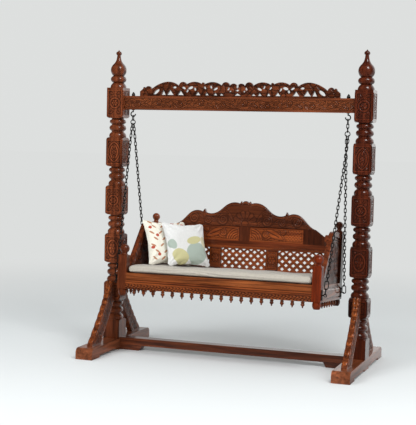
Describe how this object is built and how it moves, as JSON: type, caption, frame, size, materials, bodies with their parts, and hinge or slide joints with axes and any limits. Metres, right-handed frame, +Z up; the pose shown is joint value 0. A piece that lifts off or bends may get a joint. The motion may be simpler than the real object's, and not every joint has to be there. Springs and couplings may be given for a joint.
{
  "type": "jhoola swing",
  "caption": "Free-standing carved wooden jhoola: a cushioned bench with pierced back hung on iron chains from a beam between turned posts.",
  "frame": {"origin": "on the floor, midway between the two posts", "axes": "+X from the left post to the right post as seen from in front, -Y towards the front, +Z up"},
  "size_m": [1.815, 0.97, 2.03],
  "materials": {
    "dark_teak": "polished, dark red-brown, satin gloss",
    "orange_teak": "polished, orange-brown, satin gloss",
    "plain_hardwood": "planed, unpolished",
    "black_iron": "blackened wrought iron",
    "pale_linen": "woven linen cover, pale grey-beige",
    "white_cotton": "woven cotton, white with sage and olive shapes",
    "cream_cotton": "woven cotton, cream with rust sprigs"
  },
  "bodies": {
    "stand": {"left_foot_beam": "dark_teak", "left_post": "dark_teak", "left_finial": "dark_teak", "left_hook_bolt": "black_iron", "left_front_brace": "dark_teak", "left_back_brace": "dark_teak", "right_foot_beam": "dark_teak", "right_post": "dark_teak", "right_finial": "dark_teak", "right_hook_bolt": "black_iron", "right_front_brace": "dark_teak", "right_back_brace": "dark_teak", "foot_pads": "dark_teak", "stretcher": "dark_teak", "stretcher_blocks": "dark_teak", "top_beam": "dark_teak", "pierced_cresting": "dark_teak", "hook_nuts": "black_iron"},
    "left_hanger": {"left_hanger_ring": "black_iron"},
    "right_hanger": {"right_hanger_ring": "black_iron"},
    "left_chains": {"left_split_ring": "black_iron", "left_front_chain": "black_iron", "left_back_chain": "black_iron", "left_front_drop_ring": "black_iron", "left_back_drop_ring": "black_iron"},
    "right_chains": {"right_split_ring": "black_iron", "right_front_chain": "black_iron", "right_back_chain": "black_iron", "right_front_drop_ring": "black_iron", "right_back_drop_ring": "black_iron"},
    "bench": {"front_left_corner_post": "dark_teak", "front_right_corner_post": "dark_teak", "back_left_corner_post": "dark_teak", "back_right_corner_post": "dark_teak", "front_rail": "orange_teak", "back_rail": "orange_teak", "left_side_rail": "orange_teak", "right_side_rail": "orange_teak", "seat_slats": "plain_hardwood", "front_drops": "orange_teak", "side_drops": "orange_teak", "eye_plates": "black_iron", "eye_plate_screws": "black_iron", "lower_back_rail": "dark_teak", "middle_back_rail": "dark_teak", "back_stiles": "dark_teak", "left_jali_panel": "dark_teak", "centre_jali_panel": "dark_teak", "right_jali_panel": "dark_teak", "carved_back_panels": "dark_teak", "crest_board": "dark_teak", "arm_base_rails": "dark_teak", "left_arm_rail": "dark_teak", "right_arm_rail": "dark_teak", "left_arm_panel": "dark_teak", "right_arm_panel": "dark_teak", "mattress": "pale_linen", "sprig_cushion": "cream_cotton", "leaf_cushion": "white_cotton"}
  },
  "joints": [
    {"name": "swing", "type": "hinge", "parent": "stand", "child": "left_hanger", "pos_m": [-0.738, 0, 1.5845], "axis": [1, 0, 0], "range_deg": [-25, 25]},
    {"name": "right_swing", "type": "hinge", "parent": "stand", "child": "right_hanger", "pos_m": [0.738, 0, 1.5845], "axis": [1, 0, 0], "range_deg": [-26, 26]},
    {"name": "sway", "type": "hinge", "parent": "left_hanger", "child": "left_chains", "pos_m": [-0.738, 0, 1.5561], "axis": [0, 0.9962, -0.0872], "range_deg": [-3.5, 3.5]},
    {"name": "right_sway", "type": "hinge", "parent": "right_hanger", "child": "right_chains", "pos_m": [0.738, 0, 1.5561], "axis": [0, 0.9962, -0.0872], "range_deg": [-4, 4]},
    {"name": "bench_level", "type": "hinge", "parent": "left_chains", "child": "bench", "pos_m": [-0.701, -0.06208, 0.48213], "axis": [0, 0.9962, -0.0872], "range_deg": [-4.19, 4.19]}
  ],
  "couplings": [
    {"joint": "right_swing", "follows": "swing", "ratio": 1},
    {"joint": "right_sway", "follows": "sway", "ratio": 1},
    {"joint": "bench_level", "follows": "sway", "ratio": -1.0528}
  ]
}
